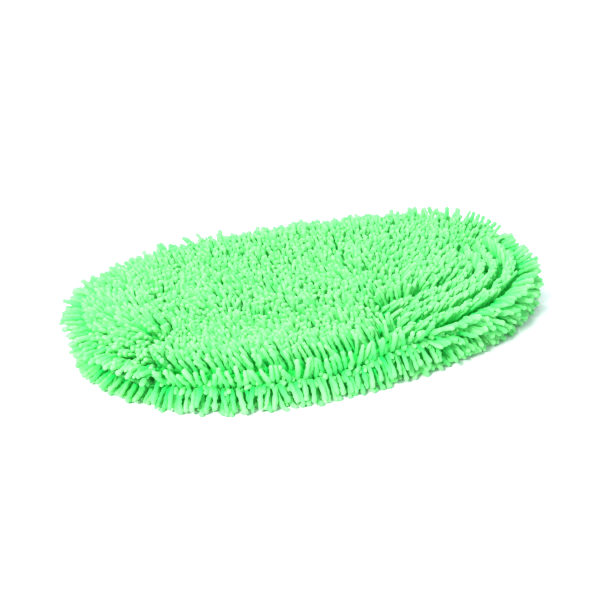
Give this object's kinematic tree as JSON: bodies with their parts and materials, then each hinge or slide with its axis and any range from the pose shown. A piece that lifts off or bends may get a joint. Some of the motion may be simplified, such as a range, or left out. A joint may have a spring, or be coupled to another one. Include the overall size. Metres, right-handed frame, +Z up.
{
  "type": "wash mitt",
  "caption": "Two-sided chenille wash mitt lying flat: thick noodle pile over a lined hand pocket with an elasticated mouth at one end.",
  "frame": {"origin": "on the surface that the mitt lies on, at the middle of its plan", "axes": "+X along the mitt from the mouth to the closed end, +Y across it, +Z up through its thickness"},
  "size_m": [0.2996, 0.1848, 0.03],
  "materials": {
    "pile": "soft chenille microfibre, matt with a light sheen",
    "backing": "knitted polyester mesh",
    "lining": "brushed warp knit",
    "hem_tape": "ribbed knitted tape",
    "elastic": "braided elastic",
    "thread": "twisted polyester thread",
    "label": "blank satin ribbon"
  },
  "bodies": {
    "lower_half": {"lower_pile": "pile", "lower_edge_pile": "pile", "lower_backing": "backing", "lower_lining": "lining", "lower_hem": "hem_tape", "lower_elastic": "elastic", "lower_hem_stitches": "thread", "edge_seam": "backing", "overlock_thread": "thread", "corner_bartacks": "thread", "care_label": "label", "label_stitches": "thread"},
    "upper_half": {"upper_pile": "pile", "upper_edge_pile": "pile", "upper_backing": "backing", "upper_lining": "lining", "upper_hem": "hem_tape", "upper_elastic": "elastic", "upper_hem_stitches": "thread"}
  },
  "joints": [
    {"name": "mouth_open", "type": "hinge", "parent": "lower_half", "child": "upper_half", "pos_m": [0.15, 0, 0.0151], "axis": [0, 1, 0], "range_deg": [0, 6], "stiffness_Nm_per_rad": 0.2}
  ]
}
